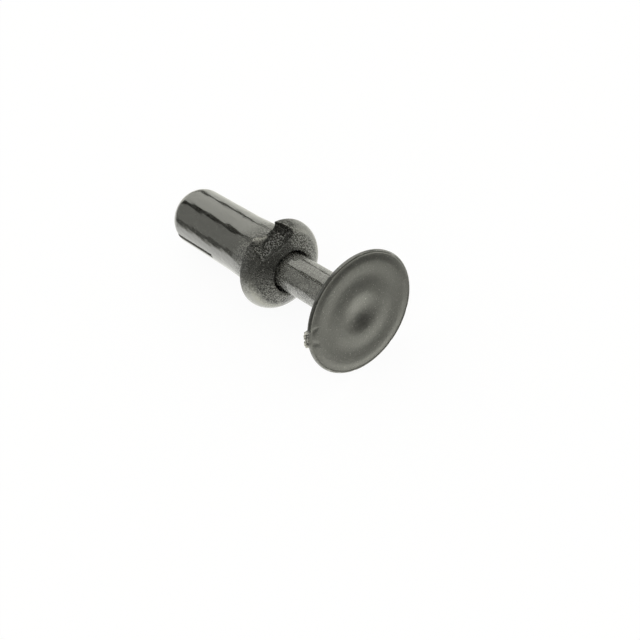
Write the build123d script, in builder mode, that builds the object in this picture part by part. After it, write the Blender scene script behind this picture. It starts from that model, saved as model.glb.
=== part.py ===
"""Two-piece push rivet, lying on its side with the plunger pulled out.

The sleeve has a conical collar that bears on a panel, and a slit barrel that
goes through the panel's hole.  The plunger slides in the sleeve's bore; pushed
home, its wide head sits on the collar.

Each piece is drawn about the rivet's own axis.  Places along that axis are
counted from the collar's bearing face: plus is towards the head, minus is
towards the nose.  The axis leans, so that the head's rim and the barrel's nose
both touch the ground at Z = 0, and the head faces +X.  The sleeve is turned as
it comes to rest: its pry scoop is uppermost, which puts its weight lowest.
"""

from build123d import *
from math import atan, cos, radians, sin, sqrt, tan
import os

os.makedirs("parts", exist_ok=True)

# ------------------------------------------------------- driving dimensions
# Plunger head: a thin disc with a coned underside, a lip round its face, a
# sink over the shank and a shallow ring-shaped dish round that.  The dish's
# lowest ring and the crest outside it are placed as shares of the way from the
# sink's edge to the lip.
head_d = 12.7
head_rim_t = 0.4
head_t = 1.1
head_boss_d = 6.4
head_pull_out = 9.37
lip_w = 0.3
lip_h = 0.07
sink_d = 4.8
sink_depth = 0.14
dish_depth = 0.07
dish_share = 0.4
crest_share = 0.78

# Plunger shank
shank_d = 4.0
shank_len = 15.6
shank_tip_d = 2.6
shank_tip_len = 2.4
shank_root_r = 0.2

# Stub of the moulding gate on the head's rim, and where it stands round the
# head, in degrees from the top towards -Y
gate_w = 1.6
gate_proud = 0.2
gate_t = 0.28
gate_turn = 70.0

# Sleeve collar
collar_d = 9.65
collar_h = 2.3
collar_land = 0.3
collar_rim_t = 0.8
collar_edge_r = 0.9

# Sleeve barrel
barrel_d = 6.4
barrel_root_d = 6.9
barrel_root_len = 5.7
barrel_len = 13.65
nose_len = 2.35
slit_w = 0.5
slit_start = 7.6

# Bore: its running clearance, its flared mouth and the room past the tip
bore_clearance = 0.08
mouth_clearance = 0.3
mouth_depth = 0.45
tip_room = 0.2

# Pry scoop: a round-floored cut through the collar's edge, from its inner end's
# place out to the rim.  Its side walls are drafted, in degrees, and stand
# scoop_w apart at the bearing face.
scoop_r = 1.4
scoop_centre_h = 1.35
scoop_inner = 2.97
scoop_w = 3.2
scoop_draft = 32.0
scoop_corner_r = 0.5

# ------------------------------------------------------------ derived sizes
head_r = head_d / 2
head_boss_r = head_boss_d / 2
shank_r = shank_d / 2
shank_tip_r = shank_tip_d / 2
bore_r = shank_r + bore_clearance
mouth_r = shank_r + mouth_clearance
collar_r = collar_d / 2
barrel_r = barrel_d / 2
barrel_root_r = barrel_root_d / 2

# Places along the axis
head_seat = collar_h + head_pull_out
head_face = head_seat + head_t
rim_corner = head_face - head_rim_t
shank_end = head_seat - shank_len
nose_tip = barrel_len + nose_len
bore_end = shank_len - collar_h + tip_room

# Lean of the axis.  Seen from the side, the ground is the line that touches
# the head's lower rim corner and the ellipse of the nose.  With t the tangent
# of the lean: head_r - span * t = sqrt((nose_len * t)^2 + barrel_r^2).
span = rim_corner + barrel_len
square_term = span**2 - nose_len**2
middle_term = head_r * span
last_term = head_r**2 - barrel_r**2
lean = atan((middle_term - sqrt(middle_term**2 - square_term * last_term)) / square_term)

# The bearing face's centre: its height above the ground, and its place along
# X that centres the rivet between the head's face and the nose
seat_z = head_r * cos(lean) - rim_corner * sin(lean)
head_reach = head_face * cos(lean) + head_r * sin(lean)
nose_reach = barrel_len * cos(lean) + sqrt((nose_len * cos(lean)) ** 2 + (barrel_r * sin(lean)) ** 2)
seat_x = (nose_reach - head_reach) / 2

# ------------------------------------------------------------------- planes
# The rivet's plane lies in the bearing face: x points up, y to -Y, z to the head.
rivet = Plane(
    origin=(seat_x, 0, seat_z),
    x_dir=(-sin(lean), 0, cos(lean)),
    z_dir=(cos(lean), 0, sin(lean)),
)
axis = Axis(rivet.origin, rivet.z_dir)

# The same plane turned to the gate stub, and three planes through the axis, all
# with y to the head.  Each profile is drawn on one, x radial: the plunger's
# through its gate, and the sleeve's through its scoop.  The scoop's width is
# drawn on the third, x to -Y.
gate_plane = Plane(rivet.origin, x_dir=rivet.x_dir.rotate(axis, gate_turn), z_dir=rivet.z_dir)
plunger_plane = Plane(rivet.origin, x_dir=gate_plane.x_dir, z_dir=-gate_plane.y_dir)
sleeve_plane = Plane(rivet.origin, x_dir=rivet.x_dir, z_dir=-rivet.y_dir)
width_plane = Plane(rivet.origin, x_dir=rivet.y_dir, z_dir=rivet.x_dir)

# ------------------------------------------------------------------ plunger
# Profile from the centre of the face, over its two ring-shaped crests and the
# lip, round the rim, along the coned underside and down the shank to its tip.
lip_in = head_r - lip_w
sink_edge = sink_d / 2
dish_r = sink_edge + dish_share * (lip_in - sink_edge)
crest_r = sink_edge + crest_share * (lip_in - sink_edge)
face_points = [
    (0, head_face - sink_depth),
    (sink_edge, head_face),
    (dish_r, head_face - dish_depth),
    (crest_r, head_face),
    (lip_in, head_face - lip_h),
]

with BuildPart() as plunger:
    with BuildSketch(plunger_plane):
        with BuildLine():
            Spline(*face_points, tangents=((1, 0), (1, -lip_h / lip_w)))
            Polyline(
                (lip_in, head_face - lip_h),
                (lip_in, head_face),
                (head_r, head_face),
                (head_r, rim_corner),
                (head_boss_r, head_seat),
                (shank_r, head_seat),
                (shank_r, shank_end + shank_tip_len),
                (shank_tip_r, shank_end),
                (0, shank_end),
                (0, head_face - sink_depth),
            )
        make_face()
    revolve(axis=axis)
    root_edge = plunger.edges().filter_by(GeomType.CIRCLE).filter_by(
        lambda edge: abs(edge.radius - shank_r) < 0.001
    )
    fillet(root_edge.sort_by(axis)[-1], shank_root_r)

    # Gate stub, inside the height of the rim's side wall
    with BuildSketch(gate_plane.offset(rim_corner + (head_rim_t - gate_t) / 2)):
        with Locations((head_r, 0)):
            Rectangle(2 * gate_proud, gate_w)
    extrude(amount=gate_t)

plunger.part.label = "plunger"

# ------------------------------------------------------------------- sleeve
# Scoop cutter: the drum that gives the round floor and runs out past the rim,
# kept between two side walls that open towards the head.
scoop_top = collar_h + scoop_r
wall_bottom = scoop_centre_h - scoop_r
drum_x = scoop_inner + scoop_r


def scoop_half_width(height):
    """Half of the scoop's width at a height above the bearing face."""
    return scoop_w / 2 + height * tan(radians(scoop_draft))


with BuildPart() as scoop:
    with BuildSketch(sleeve_plane):
        with Locations((drum_x, scoop_centre_h)):
            Circle(scoop_r)
        with Locations((drum_x + collar_r / 2, scoop_centre_h)):
            Rectangle(collar_r, 2 * scoop_r)
    extrude(amount=scoop_half_width(scoop_top), both=True)
    with BuildSketch(width_plane):
        with BuildLine():
            Polyline(
                (-scoop_half_width(wall_bottom), wall_bottom),
                (scoop_half_width(wall_bottom), wall_bottom),
                (scoop_half_width(scoop_top), scoop_top),
                (-scoop_half_width(scoop_top), scoop_top),
                close=True,
            )
        make_face()
    extrude(amount=drum_x + collar_r, mode=Mode.INTERSECT)
    floor_corners = scoop.edges().filter_by(GeomType.ELLIPSE)
    fillet(floor_corners, scoop_corner_r)

# Profile from the bore's mouth over the collar, down the barrel, round the
# nose and back up the bore.
with BuildPart() as sleeve:
    with BuildSketch(sleeve_plane):
        with BuildLine():
            Polyline(
                (0, -bore_end),
                (shank_tip_r + bore_clearance, -bore_end),
                (bore_r, shank_tip_len - bore_end),
                (bore_r, collar_h - mouth_depth),
                (mouth_r, collar_h),
                (mouth_r + collar_land, collar_h),
                (collar_r, collar_rim_t),
                (collar_r, 0),
                (barrel_root_r, 0),
                (barrel_r, -barrel_root_len),
                (barrel_r, -barrel_len),
            )
            EllipticalCenterArc((0, -barrel_len), barrel_r, nose_len, start_angle=270, arc_size=90)
            Line((0, -nose_tip), (0, -bore_end))
        make_face()
    revolve(axis=axis)
    collar_edge = sleeve.edges().filter_by(GeomType.CIRCLE).filter_by(
        lambda edge: abs(edge.radius - collar_r) < 0.001
    )
    fillet(collar_edge.sort_by(axis)[-1], collar_edge_r)

    # Slit that parts the barrel into two legs, from its root to the nose
    with BuildSketch(rivet.offset(-slit_start)):
        Rectangle(slit_w, barrel_root_d)
    extrude(amount=slit_start - nose_tip, mode=Mode.SUBTRACT)

    add(scoop.part, mode=Mode.SUBTRACT)

sleeve.part.label = "sleeve"

export_step(plunger.part, "parts/plunger.step")
export_step(sleeve.part, "parts/sleeve.step")
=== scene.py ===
# %% [markdown]
# # A push rivet in black nylon
#
# The rivet is two mouldings. The sleeve has a coned collar, a barrel slit into
# two legs and a rounded nose. The plunger is a wide thin head on a shank that
# slides in the sleeve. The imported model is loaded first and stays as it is: the
# fine surfaces made below take the place of its two plain nodes, in the same
# space, and ride on the same two bodies.

# %% Load the fixed frame
import math

import bpy
import numpy as np
from mathutils import Matrix, Vector


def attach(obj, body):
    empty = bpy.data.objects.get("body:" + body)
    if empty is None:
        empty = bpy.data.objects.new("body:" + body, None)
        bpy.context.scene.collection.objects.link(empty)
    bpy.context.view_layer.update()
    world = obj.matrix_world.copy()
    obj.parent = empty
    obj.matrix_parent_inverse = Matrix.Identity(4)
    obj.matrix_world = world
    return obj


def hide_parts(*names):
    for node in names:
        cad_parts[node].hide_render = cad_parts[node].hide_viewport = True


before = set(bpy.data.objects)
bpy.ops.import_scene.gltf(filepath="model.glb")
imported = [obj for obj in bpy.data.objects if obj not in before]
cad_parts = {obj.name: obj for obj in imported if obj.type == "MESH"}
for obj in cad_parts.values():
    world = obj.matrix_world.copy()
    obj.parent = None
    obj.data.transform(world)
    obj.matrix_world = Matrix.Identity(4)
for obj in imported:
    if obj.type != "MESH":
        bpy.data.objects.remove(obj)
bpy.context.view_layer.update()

# %% [markdown]
# Every round form of the rivet is worked out about its own axis, in
# millimetres: a radius, a turn and a height. The turn is counted in degrees
# from the top towards -Y, and the height from the collar's bearing face, plus
# towards the head. One function carries such points into the frame, in metres.
# Working this way keeps each formula short, because the axis leans.

# %% The rivet's own axes
LEAN = math.radians(6.8755027)
TO_HEAD = np.array([math.cos(LEAN), 0, math.sin(LEAN)])
TO_TOP = np.array([-math.sin(LEAN), 0, math.cos(LEAN)])
TO_SIDE = np.array([0, -1.0, 0])
SEAT = np.array([1.2389194, 0, 4.8234927])
MM = 0.001


def in_frame(up, side, height):
    """Row-frame points: the seat, plus up, side and height times their axes."""
    flat = [np.asarray(c, float)[..., None] for c in (up, side, height)]
    return MM * (SEAT + flat[0] * TO_TOP + flat[1] * TO_SIDE + flat[2] * TO_HEAD)


def in_frame_round(radius, turn, height):
    """The same from a radius and a turn: up is radius times the turn's cosine, side its sine."""
    return in_frame(radius * np.cos(turn), radius * np.sin(turn), height)


print("the axis leans by", round(math.degrees(LEAN), 2), "degrees through", SEAT, "mm")

# %% [markdown]
# A piece could be joined from Blender's cylinders and discs, but the joints
# would show. Here each piece is a few grids of points, worked out as whole
# arrays, and one function turns them into a single closed mesh: it merges the
# points that two grids share, and closes a ring with a fan of triangles.

# %% Meshes from grids
WELD = 0.0004 * MM


def welded_mesh(name, grids, fans=()):
    """One mesh from grids of points, rows by columns, whose equal points are merged.

    Each cell of a grid is a quad of its four corners; with closed columns, the last
    column joins the first. A fan closes a row of points with one point at its middle.
    """
    points, faces, start = [], [], 0
    for grid, closed in grids:
        rows, cols = grid.shape[:2]
        index = start + np.arange(rows * cols).reshape(rows, cols)
        wide = np.hstack([index, index[:, :1]]) if closed else index
        corners = wide[:-1, :-1], wide[1:, :-1], wide[1:, 1:], wide[:-1, 1:]
        faces.append(np.stack(corners, -1).reshape(-1, 4))
        points.append(grid.reshape(-1, 3))
        start += rows * cols
    for ring, centre, first_row in fans:
        index = start + np.arange(len(ring))
        hub = np.full(len(ring), start + len(ring))
        ahead = np.roll(index, -1)
        spokes = (hub, index, ahead, ahead) if first_row else (hub, ahead, index, index)
        faces.append(np.stack(spokes, -1))
        points += [ring, centre.reshape(1, 3)]
        start += len(ring) + 1
    points = np.vstack(points)
    keys = np.round(points / WELD).astype(np.int64)
    _, first, same = np.unique(keys, axis=0, return_index=True, return_inverse=True)
    faces = same.reshape(-1)[np.vstack(faces)]
    after = np.roll(faces, -1, axis=1)
    keep = faces != after
    corners = keep.sum(1)
    whole = corners >= 3
    faces, keep, corners = faces[whole], keep[whole], corners[whole]
    mesh = bpy.data.meshes.new(name)
    mesh.vertices.add(len(first))
    mesh.vertices.foreach_set("co", points[first].astype(np.float32).ravel())
    loops = faces[keep]
    mesh.loops.add(len(loops))
    mesh.loops.foreach_set("vertex_index", loops.astype(np.int32))
    mesh.polygons.add(len(faces))
    starts = np.concatenate([[0], np.cumsum(corners)[:-1]])
    mesh.polygons.foreach_set("loop_start", starts.astype(np.int32))
    mesh.polygons.foreach_set("use_smooth", np.ones(len(faces), bool))
    mesh.update(calc_edges=True)
    mesh.validate()
    made = bpy.data.objects.new(name, mesh)
    bpy.context.scene.collection.objects.link(made)
    print(name, "has", len(mesh.vertices), "points and", len(mesh.polygons), "faces")
    return made, points[first]


# %% [markdown]
# ## The sleeve
#
# The collar is a round form with a scoop cut through its edge, so no turned
# profile can give it. It could be cut with a Boolean, which leaves hard edges
# and long thin faces. Here the collar is built from its own cross-sections
# instead: at each height the section is the collar's circle with a
# round-cornered slot let into it. The slot grows wider towards the head, and
# its floor moves with height as the scoop's round floor does. Each section is
# smoothed a little along its own length, which rounds every edge as moulding
# does.
#
# Every section has the same columns, so that they join into one grid: those on
# the slot's floor, up its wall, round to the slit's near edge, across the slit
# and on to the far side of the circle.

# %% Sizes of the sleeve, as the frame has them
COLLAR_R, COLLAR_H, COLLAR_RIM_T = 4.825, 2.3, 0.8
MOUTH_R, MOUTH_DEPTH, LAND_W, BORE_R = 2.3, 0.45, 0.3, 2.08
BARREL_ROOT_R, BARREL_R, BARREL_ROOT_LEN, BARREL_LEN = 3.45, 3.2, 5.7, 13.65
NOSE_LEN, SLIT_W, SLIT_START = 2.35, 0.5, 7.6
BORE_END, BORE_TIP_R, BORE_TIP_LEN = 13.5, 1.38, 2.4
SCOOP_R, SCOOP_CENTRE_H, SCOOP_INNER = 1.4, 1.35, 2.97
SCOOP_W, SCOOP_DRAFT = 3.2, math.radians(32.0)
print("sleeve:", COLLAR_H + BARREL_LEN + NOSE_LEN, "mm long,", 2 * COLLAR_R, "mm across")

# %% Columns of a section, and small helpers
HALF_COLUMNS = (34, 24, 46, 8, 38)
NEAR_EDGE, FAR_EDGE, FULL = sum(HALF_COLUMNS[:3]), sum(HALF_COLUMNS[:4]), 2 * sum(HALF_COLUMNS)
print("columns round a section:", FULL)


def spaced(start, end, count):
    """Count values from start up to, and without, end."""
    return np.linspace(start, end, count, endpoint=False)


def smooth_step(x):
    """0 up to 0, 1 from 1, and three x squared less two x cubed between."""
    x = np.clip(x, 0, 1)
    return x * x * (3 - 2 * x)


def bell(x, middle, width):
    """1 at the middle, and e to the minus square of the distance over the width beside it."""
    return np.exp(-(((x - middle) / width) ** 2))


# %% The scoop's floor and width
def scoop_floor(height):
    """The scoop's floor, as a distance from the axis: the drum's centre less its half chord."""
    chord = np.sqrt(np.clip(SCOOP_R**2 - (height - SCOOP_CENTRE_H) ** 2, 0, None))
    return SCOOP_INNER + SCOOP_R - chord


def scoop_half_width(height):
    """Half the slot's width, which grows with height by the tangent of the walls' draft."""
    return SCOOP_W / 2 + height * math.tan(SCOOP_DRAFT)


print("the scoop's floor is", scoop_floor(0.0).round(2), "mm from the axis at the bearing face")

# %% One half of a section of the collar, with its wear and its soft edges
WORN_SIDE, SOUND_SIDE = 1, -1
SCOOP_CORNER_R, SCOOP_FLOOR_MOST = {WORN_SIDE: 0.95, SOUND_SIDE: 0.6}, 3.95
WIDEST_SHARE, SCOOP_TOP = 0.92, COLLAR_H - 0.2
WORN_R, WORN_FROM, WORN_RISE, WORN_JOIN = 4.05, 0.3, 3.2, 0.3
EDGE_JOIN, MOULDED_EDGE, FINE = 0.12, 0.035, 0.01
FLOOR_POINTS, WALL_POINTS, ROUND_POINTS = 500, 300, 1200
FOOT, WALL_TOP = FLOOR_POINTS * 85 // 100, FLOOR_POINTS + WALL_POINTS - 2


def slot_floor(across, half, height, side, notch):
    """The slot's floor along its half width: level, then a quarter circle up into the wall.

    On the worn side it also climbs a slope of one in one near the bearing face. The two are
    joined by half their sum plus half the root of their difference squared plus a small
    number squared, which is a rounded greater-of.
    """
    floor = np.full_like(across, min(scoop_floor(height), SCOOP_FLOOR_MOST))
    corner = SCOOP_CORNER_R[side]
    in_corner = np.clip(across - (half - corner), 0, corner)
    floor = floor + corner - np.sqrt(corner**2 - in_corner**2)
    if side == WORN_SIDE:
        worn = WORN_R + (across - WORN_FROM - WORN_RISE * height)
        floor = (floor + worn + np.sqrt((floor - worn) ** 2 + WORN_JOIN**2)) / 2 - 0.01
    return floor + notch(side * across, height)


def averaged(values, sign):
    """Values along an outline, averaged over the edge radius by a normal bell.

    The outline goes on past each end as its mirror image, times the sign.
    """
    reach = int(3 * MOULDED_EDGE / FINE)
    weights = np.exp(-0.5 * (np.arange(-reach, reach + 1) * FINE / MOULDED_EDGE) ** 2)
    before, after = sign * values[reach:0:-1], sign * values[-2 : -reach - 2 : -1]
    return np.convolve(np.concatenate([before, values, after]), weights / weights.sum(), "valid")


def half_section(radius, height, side, notch):
    """One side of a section: across the slot's floor, up its wall and round to the far side.

    Over the slot the outline is the lesser of the circle and the floor, with the edge
    between them eased by the square of how near they are. It is then averaged along its
    length over the edge radius.
    """
    half = min(scoop_half_width(height), WIDEST_SHARE * radius)
    across = np.linspace(0, half, FLOOR_POINTS)
    circle = np.sqrt(radius**2 - across**2)
    floor = slot_floor(across, half, height, side, notch)
    near = np.clip(EDGE_JOIN - np.abs(circle - floor), 0, None)
    up = np.minimum(circle, floor) - near**2 / (4 * EDGE_JOIN)
    if height > SCOOP_TOP:
        up = circle
    wall = np.linspace(up[-1], max(circle[-1], up[-1]), WALL_POINTS)
    turn = np.linspace(math.asin(half / radius), math.pi, ROUND_POINTS)[1:]
    x = np.concatenate([up, wall[1:], radius * np.cos(turn)])
    y = np.concatenate([across, np.full(WALL_POINTS - 1, half), radius * np.sin(turn)])
    along = np.concatenate([[0], np.cumsum(np.hypot(np.diff(x), np.diff(y)))])
    even = np.arange(0, along[-1], FINE)
    x, y = averaged(np.interp(even, along, x), 1), averaged(np.interp(even, along, y), -1)
    return even, x, y, along[[FOOT, WALL_TOP]]


# %% Whole sections
FLOOR_SHARE, WALL_SHARE = 0.26, 0.47
PLAIN_FROM, PLAIN_OVER = 1.75, 0.5


def slit_turn(radius):
    """How far the slit's edge stands from the slit's middle, as an angle seen from the axis."""
    return math.asin(SLIT_W / 2 / radius)


def half_turns(radius):
    """Turns of one half's columns on a plain circle, with columns on both edges of the slit."""
    near, far = math.pi / 2 - slit_turn(radius), math.pi / 2 + slit_turn(radius)
    ends = (0, FLOOR_SHARE * near, WALL_SHARE * near, near, far, math.pi)
    parts = [spaced(a, b, n) for a, b, n in zip(ends, ends[1:], HALF_COLUMNS)]
    return np.concatenate([*parts, [math.pi]])


def level_ring(flat, height):
    """Points of a plane section with their height as the third number."""
    return np.concatenate([flat, np.full((len(flat), 1), height)], 1)


def round_section(radius, height):
    """A whole plain section: the columns of one half, then the other half's mirrored."""
    turns = half_turns(radius)
    turns = np.concatenate([turns, -turns[-2:0:-1]])
    return level_ring(radius * np.stack([np.cos(turns), np.sin(turns)], -1), height)


def cut_section(radius, height, notch):
    """A whole section with the slot: both halves, with columns kept on the wall's foot and top.

    Above the scoop the columns pass over to those of a plain circle, by the smooth step of
    the height.
    """
    plain = half_turns(radius)
    blend = smooth_step((height - PLAIN_FROM) / PLAIN_OVER)
    halves = []
    for side in (WORN_SIDE, SOUND_SIDE):
        even, x, y, marks = half_section(radius, height, side, notch)
        turns = np.arctan2(y, x)
        past = even > marks[1]
        slit_at = np.interp(plain[[NEAR_EDGE, FAR_EDGE]], turns[past], even[past])
        ends = (0, *marks, *slit_at, even[-1])
        parts = [spaced(a, b, n) for a, b, n in zip(ends, ends[1:], HALF_COLUMNS)]
        at = np.concatenate([*parts, [even[-1]]])
        if blend > 0:
            at = at * (1 - blend) + np.interp(plain, turns, even) * blend
        halves.append(np.stack([np.interp(at, even, x), side * np.interp(at, even, y)], -1))
    return level_ring(np.concatenate([halves[0], halves[1][-2:0:-1]]), height)


print("a section of the collar:", cut_section(COLLAR_R, 1.0, lambda side, height: 0).shape)


# %% Profile of the collar and barrel
COLLAR_EDGE_R = 1.45
CONE_ROWS, SHOULDER_ROWS, SIDE_ROWS = 46, 29, 3


def collar_profile():
    """Radii and heights down the collar: along the cone, round the shoulder, down the side."""
    slope = np.array([COLLAR_R - MOUTH_R - LAND_W, COLLAR_RIM_T - COLLAR_H])
    slope /= np.linalg.norm(slope)
    normal = np.array([-slope[1], slope[0]])
    start = np.array([MOUTH_R + LAND_W, COLLAR_H])
    centre_r = COLLAR_R - COLLAR_EDGE_R
    centre_h = (normal @ start - COLLAR_EDGE_R - normal[0] * centre_r) / normal[1]
    centre = np.array([centre_r, centre_h])
    touch = centre + COLLAR_EDGE_R * normal
    cone = start + np.linspace(0, 1, CONE_ROWS)[:, None] * (touch - start)
    swing = spaced(math.atan2(normal[1], normal[0]), 0, SHOULDER_ROWS)[1:]
    arc = centre + COLLAR_EDGE_R * np.stack([np.cos(swing), np.sin(swing)], -1)
    side = np.stack([np.full(SIDE_ROWS, COLLAR_R), np.linspace(centre_h, 0.05, SIDE_ROWS)], -1)
    edge = np.array([[COLLAR_R - 0.006, 0.022], [COLLAR_R - 0.022, 0.006]])
    return np.vstack([cone, arc, side, edge])


def barrel_radius(height):
    """The barrel's radius: straight down its root, then level, then the nose's ellipse."""
    depth = -np.asarray(height, float)
    body = BARREL_R + (BARREL_ROOT_R - BARREL_R) * np.clip(1 - depth / BARREL_ROOT_LEN, 0, 1)
    past = np.clip((depth - BARREL_LEN) / NOSE_LEN, 0, 1)
    return body * np.sqrt(1 - past**2)


profile = collar_profile()
profile_radii, profile_heights = profile[::-1].T
print("collar's profile:", len(profile), "points")

# %% Skin of the collar and barrel
BORE_ROWS, FLARE_ROWS, BACK_ROWS, BARREL_ROWS = 8, 7, 14, 58
RAGGED, RAGGED_SIDE, RAGGED_H = 0.045, 0.75, 0.1
LAND_SHARES = (0.33, 0.67)


def ragged_edge(side, height):
    """A torn back edge: small steps of the floor near the bearing face, a few sines across."""
    steps = np.sin(31 * side + 1.0) + np.sin(53 * side + 2.1) + 0.7 * np.sin(97 * side)
    return RAGGED * steps * bell(side, RAGGED_SIDE, RAGGED_SIDE) * math.exp(-height / RAGGED_H)


straight_bore = np.linspace(-SLIT_START, COLLAR_H - MOUTH_DEPTH, BORE_ROWS)
rows = [round_section(BORE_R, h) for h in straight_bore]
for t in np.linspace(0, 1, FLARE_ROWS)[1:]:
    rows.append(round_section(BORE_R + (MOUTH_R - BORE_R) * t, COLLAR_H - MOUTH_DEPTH * (1 - t)))
rows += [round_section(MOUTH_R + LAND_W * t, COLLAR_H) for t in LAND_SHARES]
rows += [cut_section(r, h, ragged_edge) for r, h in profile]
root, back_edge = round_section(BARREL_ROOT_R, 0), rows[-1] * [1, 1, 0]
rows += [back_edge + (root - back_edge) * t for t in np.linspace(0.01, 1, BACK_ROWS)]
barrel_heights = -np.linspace(0, SLIT_START, BARREL_ROWS)[1:]
rows += [round_section(float(barrel_radius(h)), h) for h in barrel_heights]
skin = np.stack(rows)
print("skin of the sleeve:", skin.shape)


# %% [markdown]
# Below the slit's root the barrel is two legs. A leg's section is a closed
# loop: the outer arc, down one face of the slit, back round the bore, and up
# the other face. The loops are carried along the axis to the nose, where the
# bore has ended and the inner arc has sunk to a flat.

# %% A leg's section
SLIT_STEPS = 6
CORE_REACH = 0.45


def leg_section(outer, inner, height, first, last):
    """A leg's loop: columns of the outer arc, steps across the slit, the inner arc, steps back.

    Points of the two arcs keep to their own side of the slit, half its width from the middle
    plane. Where the bore has ended, the inner arc is a flat, a share of the outer's reach.
    """
    arcs = []
    for radius in (outer, max(inner, SLIT_W / 2 + 1e-6)):
        turns = half_turns(max(radius, SLIT_W / 2 + 1e-5))
        turns = np.concatenate([turns, 2 * math.pi - turns[-2:0:-1]])
        turns = np.concatenate([turns, turns + 2 * math.pi])[first : last + 1]
        arcs.append(np.stack([radius * np.cos(turns), radius * np.sin(turns)], -1))
    out, back = arcs
    top = 1 if out[len(out) // 2, 0] > 0 else -1
    if inner <= SLIT_W / 2:
        reach = math.sqrt(max(outer**2 - SLIT_W**2 / 4, 0)) * CORE_REACH
        width = np.linspace(-1, 1, len(back)) * reach * np.sign(out[-1, 1] - out[0, 1])
        back = np.stack([np.full(len(back), top * SLIT_W / 2), width], -1)
    back = back[::-1]
    steps = np.linspace(0, 1, SLIT_STEPS + 1)[1:-1, None]
    down = out[-1] + steps * (back[0] - out[-1])
    rise = back[-1] + steps * (out[0] - back[-1])
    return level_ring(np.concatenate([out, down, back, rise]), height)


low_columns, top_columns = (FAR_EDGE, FULL - FAR_EDGE), (FULL - NEAR_EDGE, FULL + NEAR_EDGE)
print("a leg's section:", leg_section(BARREL_R, BORE_R, -SLIT_START, *low_columns).shape)


# %% Legs
BORE_STEPS, TIP_STEPS, NOSE_STEPS, TIP_R = 27, 19, 30, 0.31
BLIND_FLOOR_RADII = (0.9, 0.5, 0)


def leg_rows(first, last):
    """A leg's loops from the slit's root to its tip.

    They go along the bore, over its coned end and blind floor, and round the nose.
    """
    cone_start = BORE_END - BORE_TIP_LEN
    depths = [(d, BORE_R) for d in np.linspace(SLIT_START, cone_start, BORE_STEPS)]
    for d in np.linspace(cone_start, BORE_END, TIP_STEPS)[1:]:
        depths.append((d, BORE_R + (BORE_TIP_R - BORE_R) * (d - cone_start) / BORE_TIP_LEN))
    depths += [(BORE_END, r) for r in BLIND_FLOOR_RADII]
    tip = NOSE_LEN * math.sqrt(1 - (TIP_R / BARREL_R) ** 2)
    swing = np.linspace(0, math.pi / 2, NOSE_STEPS)
    depths += [(BARREL_LEN + tip * math.sin(t), 0) for t in swing]
    loops = [leg_section(float(barrel_radius(-d)), r, -d, first, last) for d, r in depths]
    return np.stack(loops)


top_leg, low_leg = leg_rows(*top_columns), leg_rows(*low_columns)
print("legs:", top_leg.shape, low_leg.shape)


# %% [markdown]
# A moulded skin is never quite even: it shrinks as it cools, and a reflection
# in it wanders. A bump in the material would shake the reflection without
# bending it, so the waves are put into the points themselves, a few microns
# high, on the barrel's outside alone.

# %% Waves of the moulded skin
MICRON, WAVES_FROM_R, WAVES_FROM_H = 0.001, 2.75, -0.1


def waves(turn, height):
    """Unevenness of a moulded skin: products of sines of the turn and the height."""
    broad = np.sin(9 * turn + 0.9 * height + 0.6) * np.sin(1.9 * height - 5 * turn)
    fine = np.sin(17 * turn - 2.3 * height + 1.9) * np.sin(3.7 * height + 4 * turn + 0.4)
    small = np.sin(27 * turn + 7 * height) * np.sin(9 * height - 4 * turn + 2.2)
    return MICRON * (4.6 * broad + 3.2 * fine + 5.0 * small)


def carried(points):
    """Points of up, side and height, carried into the frame, with the waves on the barrel."""
    up, side, height = np.moveaxis(points, -1, 0)
    radius = np.hypot(up, side)
    outside = smooth_step((radius - WAVES_FROM_R) / 0.3)
    outside = outside * smooth_step((WAVES_FROM_H - height) / 0.5)
    grown = 1 + waves(np.arctan2(side, up), height) * outside / np.maximum(radius, 1e-9)
    return in_frame(up * grown, side * grown, height)


around = np.radians(np.arange(0, 360, 2.0))
print("waves: up to", round(float(waves(around, -5.0).max()) / MICRON, 1), "microns half way down")

# %% Root of the slit, and the sleeve's mesh
def slit_root(first, last):
    """The slit's end wall on one side: straight from the bore's columns to the barrel's."""
    inner, outer = skin[0][first : last + 1], skin[-1][first : last + 1]
    steps = np.linspace(0, 1, SLIT_STEPS + 1)[:, None, None]
    return outer + steps * (inner - outer)


roots = slit_root(NEAR_EDGE, FAR_EDGE), slit_root(FULL - FAR_EDGE, FULL - NEAR_EDGE)
tips = [(carried(leg[-1]), carried(leg[-1].mean(0)), False) for leg in (top_leg, low_leg)]
grids = [(carried(closed), True) for closed in (skin, top_leg, low_leg)]
grids += [(carried(wall), False) for wall in roots]
sleeve, sleeve_points = welded_mesh("sleeve_moulding", grids, tips)


# %% [markdown]
# ## The plunger
#
# The plunger is turned about its axis all along, so it is one surface: a
# profile of radius and height, carried round in columns. The head's face is
# drawn by the few places where it is highest and lowest, joined by easy curves,
# as the sink marks of a moulded disc are. What isn't round, the torn stub of
# the moulding gate and the nicks in the rim, moves the columns in or out there,
# and the columns stand closer together round the gate. Pushed home, the head
# comes to a hair's breadth above the collar, so that no two faces lie in one
# plane.

# %% Sizes of the plunger, as the frame has them
HEAD_R, HEAD_RIM_T, HEAD_T, HEAD_BOSS_R, HEAD_SEAT = 6.35, 0.4, 1.1, 3.2, 11.67
HEAD_FACE = HEAD_SEAT + HEAD_T
SHANK_R, SHANK_END, SHANK_TIP_R, SHANK_TIP_LEN, SHANK_ROOT_R = 2.0, -3.93, 1.3, 2.4, 0.2
GATE_W, GATE_TURN = 1.6, math.radians(70.0)
print("plunger:", round(HEAD_FACE - SHANK_END, 2), "mm long,", 2 * HEAD_R, "mm across")

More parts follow.
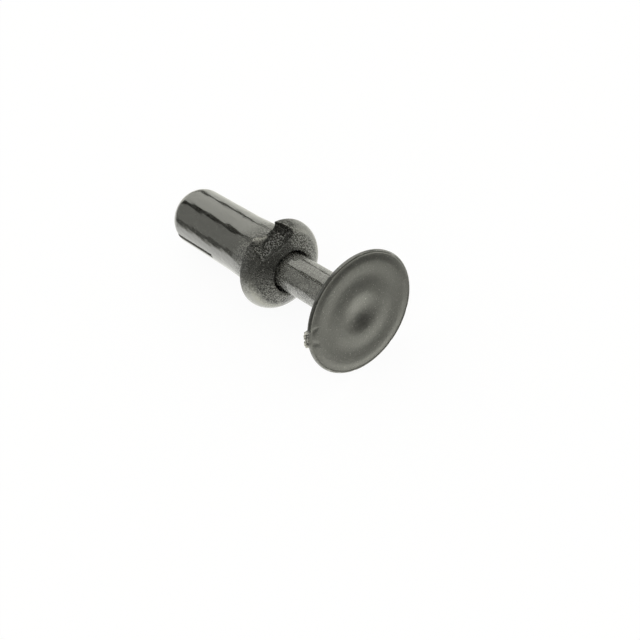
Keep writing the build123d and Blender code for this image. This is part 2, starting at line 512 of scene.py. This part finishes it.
# %% Rounding of the rim, room at the seat, and the rings of the face
SEAT_GAP, TIP_SOFT = 0.015, 0.06
LIP_W, LIP_H, LIP_FOOT_R, LIP_SOFT = 0.25, 0.065, 6.14, 0.02
RIM_DROP, RIM_SOFT, RIM_BACK_SOFT, RIM_DRAFT = 0.03, 0.2, 0.1, math.radians(12.0)
FACE_RADII = (0, 2.3, 3.85, 5.25, HEAD_R - LIP_W)
FACE_LEVELS = (-0.28, 0, -0.075, 0, -LIP_H)


def face_level(radius):
    """The face's relief: from each ring to the next by the smooth step of the way between them."""
    level = np.full_like(radius, FACE_LEVELS[0])
    rings = zip(FACE_RADII, FACE_RADII[1:], FACE_LEVELS, FACE_LEVELS[1:])
    for inner, outer, start, end in rings:
        level += (end - start) * smooth_step((radius - inner) / (outer - inner))
    return level


def quarter_bend(centre, radius, start, end, count):
    """Points of an arc in the profile's plane, from one turn to another."""
    swing = np.linspace(start, end, count)
    return np.stack([centre[0] + radius * np.cos(swing), centre[1] + radius * np.sin(swing)], -1)


def straight(start, end, count):
    """Even points from start to end, without the end."""
    return np.array(start) + spaced(0, 1, count)[:, None] * (np.array(end) - np.array(start))


print("level at the rings:", face_level(np.array(FACE_RADII)).round(3), "mm")

# %% Profile of the plunger
across_face = np.linspace(0, 1, 78)[1:] * FACE_RADII[-1]
face = np.stack([across_face, HEAD_FACE + face_level(across_face)], -1)
rim_top, rim_low = HEAD_FACE - RIM_DROP, HEAD_FACE - HEAD_RIM_T
lip = quarter_bend((LIP_FOOT_R, rim_top - LIP_SOFT), LIP_SOFT, math.pi, math.pi / 2, 5)
edge_centre = (HEAD_R - RIM_SOFT, rim_top - RIM_SOFT)
outer_edge = quarter_bend(edge_centre, RIM_SOFT, math.pi / 2, -RIM_DRAFT, 10)
foot_h = rim_low + RIM_BACK_SOFT * (1 - math.sin(RIM_DRAFT))
foot_r = outer_edge[-1, 0] - (outer_edge[-1, 1] - foot_h) * math.tan(RIM_DRAFT)
wall = straight(outer_edge[-1], (foot_r, foot_h), 18)[1:]
back_centre = (foot_r - RIM_BACK_SOFT * math.cos(RIM_DRAFT), rim_low + RIM_BACK_SOFT)
lower_edge = quarter_bend(back_centre, RIM_BACK_SOFT, -RIM_DRAFT, 0.22 - math.pi / 2, 7)
seat = HEAD_SEAT + SEAT_GAP
under = straight(lower_edge[-1], (HEAD_BOSS_R, seat), 18)[1:]
boss = straight((HEAD_BOSS_R, seat), (SHANK_R + SHANK_ROOT_R, seat), 6)
root_centre = (SHANK_R + SHANK_ROOT_R, seat - SHANK_ROOT_R)
root_bend = quarter_bend(root_centre, SHANK_ROOT_R, math.pi / 2, math.pi, 7)
shank_low = SHANK_END + SHANK_TIP_LEN
shank = straight((SHANK_R, root_centre[1]), (SHANK_R, shank_low), 42)[1:]
taper = straight((SHANK_R, shank_low), (SHANK_TIP_R, SHANK_END + TIP_SOFT), 9)
tip_centre = (SHANK_TIP_R - TIP_SOFT, SHANK_END + TIP_SOFT)
tip_edge = quarter_bend(tip_centre, TIP_SOFT, 0, -math.pi / 2, 4)
tip_face = straight((SHANK_TIP_R - TIP_SOFT, SHANK_END), (0.15, SHANK_END), 5)[1:]
profile = np.vstack([face, lip, outer_edge, wall, lower_edge, under,
                     boss, root_bend, shank, taper, tip_edge, tip_face])
print("plunger's profile:", len(profile), "points")


# %% The gate's torn stub
GATE_PROUD, GATE_LEAST, RIM_EDGE = 0.42, 0.1, 0.2
CRACK_RIDGES = ((0.675, 0.7, 0.2), (0.9, -0.55, 0.3))
CRACK_ENDS = ((0.9, -0.72, 0.13), (0.9, 0.7, 0.16))


def rim_share(radius, height):
    """1 on the rim's outer wall and 0 inside the lip, by smooth steps of radius."""
    return smooth_step((radius - (HEAD_R - RIM_EDGE)) / 0.11) * (height > HEAD_SEAT + 0.3)


def bells(x, shapes):
    """The sum of several bells, each given by how tall it is, its middle and its width."""
    return sum(tall * bell(x, middle, width) for tall, middle, width in shapes)


def gate_stub(turn, radius, height):
    """Outward move of the rim at the gate: two torn ridges, joined at their ends round a crack.

    Each ridge is a bell of the height, and each end a bell of the place along the rim. Two
    sines of the place and the height tear their edge.
    """
    place = (turn - GATE_TURN) * HEAD_R
    level = (height - (HEAD_FACE - HEAD_RIM_T / 2)) / (HEAD_RIM_T / 2)
    inside = smooth_step((GATE_W / 2 + 0.08 - np.abs(place)) / 0.09)
    thickness = smooth_step((1.02 - np.abs(level)) / 0.25)
    raised = np.maximum(bells(level, CRACK_RIDGES), bells(place, CRACK_ENDS))
    torn = 1 + 0.16 * np.sin(8 * place + 3 * level) + 0.12 * np.sin(19 * place - 5 * level + 1)
    share = GATE_LEAST + np.clip(raised, 0, 1) * torn
    return GATE_PROUD * np.clip(share, 0, 1.1) * inside * thickness * rim_share(radius, height)


print("the gate's stub:", GATE_W, "mm wide, about", GATE_PROUD, "mm proud")

# %% Nicks of the rim: where, how wide and how deep
NICKS = ((-62, 0.5, 0.1), (-24, 0.35, 0.06), (14, 0.3, 0.07), (38, 0.4, 0.06), (83, 0.5, 0.08),
         (118, 0.45, 0.1), (131, 0.25, 0.12), (150, 0.3, 0.06), (196, 0.35, 0.1), (229, 0.5, 0.06))


def rim_nicks(turn, radius, height):
    """Inward move of the rim's upper edge: a bell of turn for each nick, deepest at the face."""
    near_face = smooth_step((height - (HEAD_FACE - 0.22)) / 0.2)
    dent = np.zeros_like(turn + radius)
    for at, width, depth in NICKS:
        off = (turn - math.radians(at) + math.pi) % (2 * math.pi) - math.pi
        dent = dent + depth * bell(off * HEAD_R, 0, width / 2)
    return dent * near_face * rim_share(radius, height)


print("nicks:", len(NICKS), "up to", max(depth for _, _, depth in NICKS), "mm deep")


# %% Marks beside the gate (turn, radius, width, length, slant), and the rim's parting lines
DRAG_DEPTH, DRAGS = 0.035, ((63, 5.75, 0.34, 0.4, 0.6), (78, 5.65, 0.3, 0.34, -0.5))
PARTING_DEPTH, PARTING_W, PARTING_AT = 0.028, 0.022, (0.13, 0.27)


def drag_marks(turn, radius):
    """Dents in the face beside the gate: each a bell across its run and a longer one along it."""
    depth = 0
    for at, out, width, length, slant in DRAGS:
        off = (turn - math.radians(at)) * radius - slant * (radius - out)
        depth = depth + bell(off, 0, width) * bell(radius, out, length)
    return DRAG_DEPTH * depth


def parting(radius, height):
    """Two fine grooves round the rim's wall, each a bell of the height."""
    lines = sum(bell(height, rim_low + at, PARTING_W) for at in PARTING_AT)
    return PARTING_DEPTH * lines * rim_share(radius, height)


print("marks beside the gate:", len(DRAGS), "and parting lines:", len(PARTING_AT))

# %% The plunger's mesh
GATE_COLUMNS, OTHER_COLUMNS, NEAR_GATE = 66, 290, math.radians(9)
gate_start, gate_end = GATE_TURN - NEAR_GATE, GATE_TURN + NEAR_GATE
turns = np.concatenate([spaced(gate_start, gate_end, GATE_COLUMNS),
                        spaced(gate_end, gate_start + 2 * math.pi, OTHER_COLUMNS)])
turn, radius, height = turns[None, :], profile[:, :1], profile[:, 1:]
moved = gate_stub(turn, radius, height) - rim_nicks(turn, radius, height) - parting(radius, height)
radius = radius + moved
on_shank = smooth_step((HEAD_SEAT - 0.4 - height) / 0.5)
on_shank = on_shank * smooth_step((height - SHANK_END - 2.0) / 0.5)
radius = radius + 0.8 * waves(turn, 1.3 * height) * on_shank
on_face = (radius < HEAD_R - LIP_W) & (height > HEAD_SEAT + 0.5)
height = height - drag_marks(turn, radius) * on_face
surface = in_frame_round(radius, turn, height)
poles = [(surface[0], in_frame(0.0, 0.0, HEAD_FACE + FACE_LEVELS[0]), True),
         (surface[-1], in_frame(0.0, 0.0, SHANK_END), False)]
plunger, plunger_points = welded_mesh("plunger_moulding", [(surface, True)], poles)


# %% [markdown]
# Each new surface takes the place of its node and rides on that node's body.
# So it moves as the plain node would, and the plain node no longer shows.

# %% Ride on the bodies
for piece, node in ((sleeve, "sleeve"), (plunger, "plunger")):
    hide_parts(node)
    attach(piece, node + "_body")
    node + "_nylon"
    print(piece.name, "replaces", node)


# %% [markdown]
# ## Finishes
#
# Both mouldings are black nylon. Almost all that shows on black plastic is what
# it reflects, so its finish lies in its gloss and its grain, not in its colour.
# The mould was polished for the legs and left as the spark left it, grained,
# for the collar and the scoop. Handling has rubbed the collar's shoulder
# smooth. A pale patch on one side of the shoulder is a painted highlight. The
# places of these finishes follow the forms, so they are worked out where the
# points are and stored on the mesh, as four numbers for each point: how
# grained and polished, how strong the painted highlight is, and how torn. Each
# is built of smooth steps: the distance past an edge over the width in which
# it rises.

# %% Where the grain and the polish lie
def own_axes(points):
    """Up, side and height of frame points: how far each lies from the seat along the axes."""
    away = points / MM - SEAT
    return away @ TO_TOP, away @ TO_SIDE, away @ TO_HEAD


def store(piece, name, values):
    """Keeps one number for each of the mesh's points, under a name that a material can read."""
    layer = piece.data.attributes.new(name, "FLOAT", "POINT")
    layer.data.foreach_set("value", np.asarray(values, np.float32))


heights = own_axes(sleeve_points)[2]
print("the sleeve's heights:", heights.min().round(2), "to", heights.max().round(2), "mm")

# %% Finish of the sleeve
LEAST_GRAIN, GRAINED_ROOT, ROOT_DULLING, RUBBING = 0.05, 3.8, 0.55, 0.8
SMOOTHER, SMOOTHER_TURN, PAINTED_HIGHLIGHT_TURN, PATCH_WIDTH = 0.6, 33, 108, 30
SHOULDER_R, PAINTED_HIGHLIGHT_OUTER_R, TORN_UP, TORN_SIDES, TORN_H = 3.6, 3.9, 3.6, (-0.35, 1.5), 0.19
up, side, height = own_axes(sleeve_points)
radius, turned = np.hypot(up, side), np.degrees(np.arctan2(side, up))
on_barrel = smooth_step(-height / 0.05)
fading_root = 1 - smooth_step((-height - 0.3) / GRAINED_ROOT)
collar_r = np.interp(height, profile_heights, profile_radii)
outermost = smooth_step((radius - collar_r) / 0.08 + 1.25)
shoulder = outermost * smooth_step((collar_r - SHOULDER_R) / 0.5)
rubbed = shoulder * smooth_step((np.abs(turned - 20) - 40) / 40)
smoother = SMOOTHER * bell(turned, SMOOTHER_TURN, PATCH_WIDTH) * smooth_step((height - 1.2) / 0.5)
grain_left = (1 - RUBBING * rubbed) * (1 - smoother)
grained = on_barrel * fading_root + (1 - on_barrel) * grain_left
grained = LEAST_GRAIN + (1 - LEAST_GRAIN) * grained
polished = on_barrel * (1 - ROOT_DULLING * fading_root) + (1 - on_barrel) * rubbed
# Painted highlight: a pale patch on the shoulder's outer edge about turn 108, where a bright
# reflection falls.
worn = shoulder * smooth_step((collar_r - PAINTED_HIGHLIGHT_OUTER_R) / 0.5)
worn = worn * bell(turned, PAINTED_HIGHLIGHT_TURN, PATCH_WIDTH)
torn = bell(height, 0, TORN_H) * smooth_step(height / 0.04) * smooth_step((up - TORN_UP) / 0.3)
torn = torn * smooth_step((side - TORN_SIDES[0]) / 0.3) * smooth_step((TORN_SIDES[1] - side) / 0.2)
for name, values in (("grained", grained), ("polished", polished), ("worn", worn), ("torn", torn)):
    store(sleeve, name, values)
    print("sleeve,", name, "on average:", round(float(values.mean()), 3))

# %% Finish of the plunger
SHANK_GRAIN = 0.4
up, side, height = own_axes(plunger_points)
on_head = smooth_step((height - (HEAD_SEAT + 0.3)) / 0.2)
stub = smooth_step((np.hypot(up, side) - HEAD_R - 0.14) / 0.16)
store(plunger, "grained", LEAST_GRAIN + SHANK_GRAIN * (1 - on_head))
store(plunger, "polished", np.ones_like(up))
store(plunger, "torn", stub)
print("points of the torn stub:", int((stub > 0).sum()))

# %% Head and shank as two finishes of one piece
middles = np.empty(3 * len(plunger.data.polygons), np.float32)
plunger.data.polygons.foreach_get("center", middles)
place_on_axis = own_axes(middles.reshape(-1, 3).astype(float))[2]
is_head = (place_on_axis > HEAD_SEAT + 0.05).astype(np.int32)
plunger.data.polygons.foreach_set("material_index", is_head)
print("head:", int(is_head.sum()), "faces; shank:", int((1 - is_head).sum()), "faces")


# %% Shader maths as expressions
class Wire:
    """A shader socket that can be added, multiplied and so on; each adds its Math node."""

    def __init__(self, tree, socket):
        self.tree, self.socket = tree, socket

    def node(self, kind, settings=None, out=0, **inputs):
        """Adds a node: its type, its settings, and values or wires for its sockets."""
        made = self.tree.nodes.new(kind)
        for key, value in (settings or {}).items():
            setattr(made, key, value)
        for key, value in inputs.items():
            socket = made.inputs[int(key[3:]) if key.startswith("in_") else key.replace("_", " ")]
            if isinstance(value, Wire):
                self.tree.links.new(value.socket, socket)
            else:
                socket.default_value = value
        return Wire(self.tree, made.outputs[out])

    def maths(self, operation, *values):
        sockets = {f"in_{n}": value for n, value in enumerate(values)}
        return self.node("ShaderNodeMath", {"operation": operation}, **sockets)

    def __add__(self, other):
        return self.maths("ADD", self, other)

    def __sub__(self, other):
        return self.maths("SUBTRACT", self, other)

    def __rsub__(self, other):
        return self.maths("SUBTRACT", other, self)

    def __mul__(self, other):
        return self.maths("MULTIPLY", self, other)

    __radd__, __rmul__ = __add__, __mul__

    def step(self, low, high):
        """0 below low and 1 above high, smooth between."""
        return self.node("ShaderNodeMapRange", {"interpolation_type": "SMOOTHSTEP"},
                         in_0=self, in_1=low, in_2=high)

    def blend(self, first, second):
        """The first colour where this is 0, the second where it is 1, mixed between."""
        return self.node("ShaderNodeMix", {"data_type": "RGBA"}, out=2,
                         in_0=self, in_6=first, in_7=second)


def new_material(name):
    """An empty material, and a wire to begin its maths from: the place, as Object coordinates."""
    material = bpy.data.materials.new(name)
    material.use_nodes = True
    tree = material.node_tree
    tree.nodes.clear()
    start = Wire(tree, None)
    return material, start.node("ShaderNodeTexCoord", out="Object")


def surfaced(material, shader):
    """The material, with the shader joined to its output."""
    output = material.node_tree.nodes.new("ShaderNodeOutputMaterial")
    material.node_tree.links.new(shader.socket, output.inputs["Surface"])
    return material


# %% [markdown]
# One function makes the nylon in all its finishes. The grain is a bump of fine
# noise where the mould was grained. Fine specks change the gloss there too,
# because grain this small glints and darkens from point to point, and they
# lighten the tone as painted glints.
# Clear gloss is a coat over the duller skin, and it fades where the polish ends.
# The sizes of the noises and the heights of the bumps are in millimetres; a
# noise's two levels say where it starts to show and where it shows in full.

# %% Black nylon
# The pale colour serves real dust and scuffs, and also painted glints and a painted highlight.
BLACK, PALE_DUST_AND_PAINTED_LIGHT, TORN = (0.011, 0.011, 0.009, 1), (0.26, 0.26, 0.23, 1), (0.6, 0.59, 0.53, 1)
GRAIN, SPECKS, DUST, TEARS, SCUFFS, SWELL = 0.19, 0.17, 0.11, 0.14, 0.6, 1.1
SWELL_H, SCUFF_H = 0.012, 0.0015
SPECK_LEVELS, DUST_LEVELS, TEAR_LEVELS = (0.46, 0.6), (0.76, 0.82), (0.27, 0.5)
SCUFF_TONE_LEVELS, SCUFF_GLOSS_LEVELS = (0.5, 0.8), (0.4, 0.8)
# The speck tone paints glints: grain specks made paler in colour where real grain would glint.
DUST_TONE, PAINTED_GLINT_TONE, SCUFF_TONE, PAINTED_HIGHLIGHT_TONE = 0.8, 1.1, 0.05, 1.3
SCUFF_DULLING, DUST_DULLING, SPECK_GLINT, TORN_DULLING = 0.08, 0.2, 0.8, 0.6


def black_nylon(name, smooth, rough, coat_rough, grain_depth, inner, outer):
    """Black moulded nylon: grain as bump, dust and scuffs as small changes of tone and gloss;
    painted glints and a painted highlight make the tone paler too.

    The gloss runs from rough to smooth with the polish. Where the mould was polished, a coat
    gives the clear reflection of the moulded skin over the duller one of what lies under it.
    """
    material, place = new_material(name)

    def stored(key):
        return place.node("ShaderNodeAttribute", {"attribute_name": key}, out="Fac")

    def noise(size, detail, roughness=0.5):
        return place.node("ShaderNodeTexNoise", Vector=place, Scale=1 / (size * MM),
                          Detail=detail, Roughness=roughness)

    grained, polished, torn, worn = (stored(key) for key in ("grained", "polished", "torn", "worn"))
    scuffs = noise(SCUFFS, 3.0, 0.65)
    specks = noise(SPECKS, 1.0).step(*SPECK_LEVELS)
    dust = noise(DUST, 0.0).step(*DUST_LEVELS)
    tears = noise(TEARS, 1.0).step(*TEAR_LEVELS)
    relief = noise(GRAIN, 2.0, 0.6) * grained * grain_depth + noise(SWELL, 1.0) * SWELL_H
    relief = relief + scuffs * SCUFF_H
    bump = place.node("ShaderNodeBump", Height=relief, Strength=1.0, Distance=MM)
    # Painted glints: grained specks lighten the tone where the skin is grained and polished.
    dust_and_painted_light = dust * DUST_TONE + specks * grained * polished * PAINTED_GLINT_TONE
    # The shoulder's painted highlight is added to the pale tone here.
    dust_and_painted_light = dust_and_painted_light + scuffs.step(*SCUFF_TONE_LEVELS) * SCUFF_TONE + worn * PAINTED_HIGHLIGHT_TONE
    tone = (torn * tears).blend(dust_and_painted_light.blend(BLACK, PALE_DUST_AND_PAINTED_LIGHT), TORN)
    gloss = rough + (smooth - rough) * polished + dust * DUST_DULLING
    gloss = gloss + scuffs.step(*SCUFF_GLOSS_LEVELS) * SCUFF_DULLING
    coat = (polished + (specks - polished) * grained * SPECK_GLINT) * (1 - TORN_DULLING * torn)
    shader = place.node("ShaderNodeBsdfPrincipled", Base_Color=tone, Roughness=gloss, IOR=inner,
                        Coat_Weight=coat, Coat_Roughness=coat_rough, Coat_IOR=outer, Normal=bump)
    return surfaced(material, shader)


nylons = (
    black_nylon("sleeve_nylon", 0.14, 0.2, 0.1, 0.34, inner=1.85, outer=2.35),
    black_nylon("shank_nylon", 0.14, 0.24, 0.1, 0.4, inner=2.2, outer=2.8),
    black_nylon("head_nylon", 0.28, 0.28, 0.24, 0.5, inner=1.85, outer=2.3),
)
for piece, nylon in zip((sleeve, plunger, plunger), nylons):
    piece.data.materials.append(nylon)
    print(piece.name, "has", nylon.name, "of", len(nylon.node_tree.nodes), "nodes")


# %% [markdown]
# ## Floor, light and camera
#
# The light is a plain white surrounding. Black plastic in an even white
# surrounding would look grey all over, so a studio hangs grey and black cards
# round it, and their reflections draw the form. The cards here are seen in
# reflections alone: they hide nothing and shade nothing. The floor is white
# paper that keeps the rivet's soft shadow. It is left out of reflections, where
# the white surrounding below it shows instead, as if the floor went on for far.

# %% Floor
FLOOR_REACHES, FLOOR_DROP, PAPER_GLOW = (1.5, 0.6, 0.2, 0.05, 0.0), 0.02 * MM, 0.93


def stage_piece(name, grid, material):
    """A stage surface from one grid of points in metres."""
    made, _ = welded_mesh(name, [(grid, False)])
    made.data.materials.append(material)
    return made


def floor_paper():
    """White paper: matt, but seen by the camera at nearly full white, with a soft shadow left."""
    material, place = new_material("white_paper")
    path = place.node("ShaderNodeLightPath", out="Is Camera Ray")
    seen = path
    for ray in ("Is Glossy Ray", "Is Transmission Ray"):
        seen = seen + Wire(path.tree, path.socket.node.outputs[ray])
    matt = place.node("ShaderNodeBsdfDiffuse", Color=(1, 1, 1, 1))
    white = place.node("ShaderNodeEmission", Color=(1, 1, 1, 1), Strength=1.0)
    share = seen.maths("MINIMUM", seen, 1.0) * PAPER_GLOW
    mixed = place.node("ShaderNodeMixShader", in_0=share, in_1=matt, in_2=white)
    return surfaced(material, mixed)


def round_sheet(reaches, level):
    """A flat round sheet about the middle of the rivet: rings at the given reaches, in metres."""
    swing, reaches = np.linspace(0, 2 * math.pi, 65), np.array(reaches)[:, None]
    x, y = reaches * np.cos(swing), reaches * np.sin(swing)
    return np.stack([x, y, np.full_like(x, level)], -1)


floor = stage_piece("floor", round_sheet(FLOOR_REACHES, -FLOOR_DROP), floor_paper())
floor.visible_glossy = False


# %% [markdown]
# Seen from the camera, each line along a round barrel reflects one direction
# round its axis. So strips curved about that axis lay the light down in bands
# along the barrel: a strip's two turns say where its band starts and ends. The
# near strips are dark, those above and on the far side pale, and black gaps
# between them draw the thin dark lines.

# %% Cards
CARD_R = 260.0
CARD_PLACES = (-4000, -1500, -600, -200, 0, 200, 500)
STRIPS = (("near_card", 11, 77, 0.35), ("near_edge_card", 77, 95, 0.12),
          ("near_fade_card", 95, 104, 0.5), ("top_gap_card", -5, 11, 0.01),
          ("top_card", -71, -5, 0.86), ("far_gap_card", -82, -71, 0.01),
          ("far_card", -150, -82, 0.84))


def card_paper(name, shade):
    """Matt card of one grey, a little warm."""
    material, place = new_material(name)
    grey = (shade, shade, 0.95 * shade, 1)
    return surfaced(material, place.node("ShaderNodeBsdfDiffuse", Color=grey))


def reflected_card(name, grid, material):
    """A stage surface that only reflections show."""
    made = stage_piece(name, grid, material)
    made.visible_camera = made.visible_diffuse = False
    made.visible_transmission = made.visible_shadow = False


def curved_strip(start, end):
    """A strip about the rivet's axis, between two turns from the top towards -Y, in degrees."""
    along, turn = np.meshgrid(CARD_PLACES, np.radians(np.linspace(start, end, 25)))
    return in_frame_round(CARD_R, turn, along)


for name, start, end, shade in STRIPS:
    reflected_card(name, curved_strip(start, end), card_paper(name + "_grey", shade))

# %% [markdown]
# The head's face looks forward, and what it reflects lies in front. A far shell
# stands there, pale low down, where a floor would be, and dark higher up. So
# each slope of the face's rings takes its own grey.

# %% Front shell
FRONT_R, FRONT_SIDE, FRONT_RISE = 240.0, 75, (-88, 38)
HIGH_AIM, HIGH_FROM, HIGH_TO, DARKEST = (0, 0.35, 0.937), -0.82, -0.06, 0.97
FAR_AIM, FAR_FROM, FAR_TO = (0, 1, 0), 0.6, 0.85
FRONT_PALE, FRONT_BLACK = (1, 1, 0.92, 1), (0, 0, 0, 1)


def front_paper():
    """Pale low down and dark higher up: a smooth step of how far a place lies along an aim."""
    material, place = new_material("front_grey")
    aim = place.node("ShaderNodeVectorMath", {"operation": "NORMALIZE"}, in_0=place)

    def along(direction):
        return place.node("ShaderNodeVectorMath", {"operation": "DOT_PRODUCT"}, out="Value",
                          in_0=aim, in_1=direction)

    far = along(FAR_AIM).step(FAR_FROM, FAR_TO)
    dark = along(HIGH_AIM).step(HIGH_FROM, HIGH_TO) * DARKEST * (1 - far)
    tone = dark.blend(FRONT_PALE, FRONT_BLACK)
    return surfaced(material, place.node("ShaderNodeBsdfDiffuse", Color=tone))


azimuth, rise = np.meshgrid(np.radians(np.linspace(-FRONT_SIDE, FRONT_SIDE, 49)),
                            np.radians(np.linspace(*FRONT_RISE, 37)))
level = np.cos(rise)
shell = np.stack([level * np.cos(azimuth), level * np.sin(azimuth), np.sin(rise)], -1)
reflected_card("front_shell", MM * FRONT_R * shell, front_paper())

# %% World
WARM_WHITE, WHITE = (1, 1, 0.95, 1), (1, 1, 1, 1)
world = bpy.data.worlds.new("white_surrounding")
bpy.context.scene.world = world
world.use_nodes = True
seen = Wire(world.node_tree, None).node("ShaderNodeLightPath", out="Is Camera Ray")
background = world.node_tree.nodes["Background"]
world.node_tree.links.new(seen.blend(WARM_WHITE, WHITE).socket, background.inputs["Color"])
background.inputs["Strength"].default_value = 1.0
print("world strength:", background.inputs["Strength"].default_value)

# %% [markdown]
# The camera stands in front of the rivet, to its near side and well above it,
# and is rolled, so that the rivet runs slanting through the picture. Three
# directions give its turn: to the right, up and back from what it looks at.

# %% Camera
BACK = Vector((0.567053, -0.289620, 0.771084)).normalized()
RIGHT = Vector((0.672616, 0.703167, -0.230529)).normalized()
PLACE = Vector((0.070232, -0.033128, 0.086618))
ATTITUDE = Matrix((RIGHT, BACK.cross(RIGHT), BACK)).transposed().to_4x4()
lens = bpy.data.cameras.new("camera")
lens.lens, lens.sensor_width = 61.875, 36.0
lens.clip_start, lens.clip_end = 0.01, 10.0
camera = bpy.data.objects.new("camera", lens)
bpy.context.scene.collection.objects.link(camera)
camera.matrix_world = Matrix.Translation(PLACE) @ ATTITUDE
bpy.context.scene.camera = camera
print("camera:", round(math.degrees(math.asin(BACK.z))), "degrees above the ground")

# %% Plain rendering of colours
bpy.context.scene.view_settings.view_transform = "Standard"
print("view transform:", bpy.context.scene.view_settings.view_transform)
